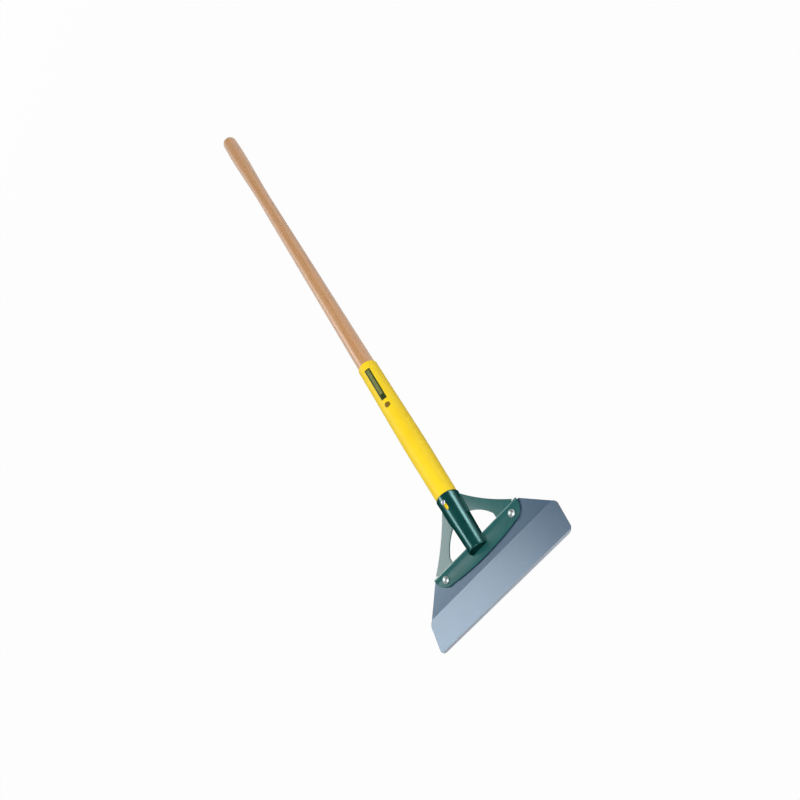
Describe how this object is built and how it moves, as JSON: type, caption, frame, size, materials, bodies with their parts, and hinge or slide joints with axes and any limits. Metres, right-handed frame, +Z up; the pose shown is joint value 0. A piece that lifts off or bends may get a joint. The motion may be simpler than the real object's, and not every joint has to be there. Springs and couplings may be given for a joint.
{
  "type": "push scraper",
  "caption": "Long-handled push scraper: wide bent steel blade riveted to a green welded bracket with a socket tube, tapered wooden handle in a yellow plastic sleeve",
  "frame": {"origin": "on the floor, under the middle of the bounding box", "axes": "The scraper lies on its back. +Y runs along the handle to its end, -Y is the cutting edge, +X runs across the blade, +Z is up, the side with the rivet heads and the screw"},
  "size_m": [0.3, 1.2986, 0.043],
  "materials": {
    "wood": "sanded and lacquered, satin",
    "sleeve_plastic": "smooth yellow plastic",
    "socket_paint": "gloss dark green paint",
    "zinc_screw": "zinc plated",
    "bracket_paint": "gloss green paint",
    "blade_steel": "blue-grey rolled steel, satin",
    "rivet_steel": "bright steel",
    "weld_paint": "painted weld bead"
  },
  "bodies": {
    "root": {"wooden_handle": "wood", "handle_sleeve": "sleeve_plastic", "socket_tube": "socket_paint", "socket_screw": "zinc_screw", "bracket": "bracket_paint", "blade": "blade_steel", "rivet_left": "rivet_steel", "rivet_right": "rivet_steel", "weld_arm_left": "weld_paint", "weld_arm_right": "weld_paint", "weld_foot_left": "weld_paint", "weld_foot_right": "weld_paint"}
  },
  "joints": []
}
